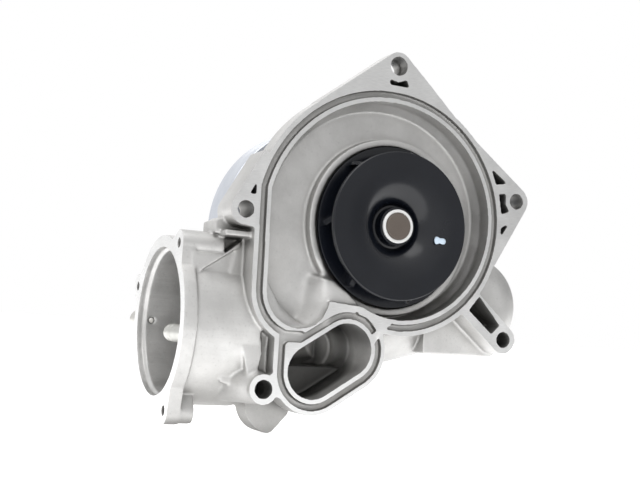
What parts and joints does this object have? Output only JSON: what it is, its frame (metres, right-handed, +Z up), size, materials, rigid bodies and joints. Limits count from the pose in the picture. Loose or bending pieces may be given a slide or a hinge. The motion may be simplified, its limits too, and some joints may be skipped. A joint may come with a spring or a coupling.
{
  "type": "engine coolant pump with thermostat housing",
  "caption": "Cast aluminium engine coolant pump with an open volute, closed plastic impeller, thermostat chamber with a side opening and a belt pulley behind.",
  "frame": {"origin": "on the shaft axis, in the plane of the engine flange face", "axes": "+X right and +Z up when looking at the engine face, +Y away from the engine along the shaft towards the pulley"},
  "size_m": [0.2156, 0.126, 0.2155],
  "materials": {
    "cast_aluminium": "fine blasted casting skin, machined sealing faces",
    "pulley_metal": "satin turned",
    "bearing_steel": "ground",
    "shaft_steel": "ground, end face darkened",
    "insert_steel": "bright turned",
    "hub_steel": "turned",
    "fastener_steel": "zinc plated",
    "plug_steel": "pressed, plated",
    "impeller_plastic": "moulded, semi gloss",
    "cage_plastic": "moulded",
    "seal_rubber": "matt",
    "carbon": "lapped carbon",
    "ceramic": "lapped ceramic",
    "probe_steel": "turned, tarnished"
  },
  "bodies": {
    "housing": {"pump_housing": "cast_aluminium", "bearing_outer_ring": "bearing_steel", "bearing_seal_front": "seal_rubber", "bearing_seal_rear": "seal_rubber", "seal_cup": "plug_steel", "seal_bellows": "seal_rubber", "seal_spring": "bearing_steel", "seal_carbon_ring": "carbon", "core_plug": "plug_steel", "weep_cap": "plug_steel", "chamber_probe": "probe_steel", "vent_nipple": "plug_steel"},
    "rotor": {"pump_shaft": "shaft_steel", "impeller_insert": "insert_steel", "impeller_body": "impeller_plastic", "impeller_shroud": "impeller_plastic", "seal_seat_boot": "seal_rubber", "seal_seat_ring": "ceramic", "leak_slinger": "cage_plastic", "pulley_hub": "hub_steel", "pulley": "pulley_metal", "pulley_bolts": "fastener_steel"},
    "ball_row": {"ball_set": "bearing_steel", "ball_cage": "cage_plastic"},
    "roller_row": {"roller_set": "bearing_steel", "roller_cage": "cage_plastic"}
  },
  "joints": [
    {"name": "shaft_spin", "type": "hinge", "parent": "housing", "child": "rotor", "pos_m": [0, 0, 0], "axis": [0, 1, 0], "continuous": true},
    {"name": "ball_row_spin", "type": "hinge", "parent": "housing", "child": "ball_row", "pos_m": [0, 0.05, 0], "axis": [0, 1, 0], "continuous": true},
    {"name": "roller_row_spin", "type": "hinge", "parent": "housing", "child": "roller_row", "pos_m": [0, 0.073, 0], "axis": [0, 1, 0], "continuous": true}
  ],
  "couplings": [
    {"joint": "ball_row_spin", "follows": "shaft_spin", "ratio": 0.3553},
    {"joint": "roller_row_spin", "follows": "shaft_spin", "ratio": 0.3985}
  ]
}
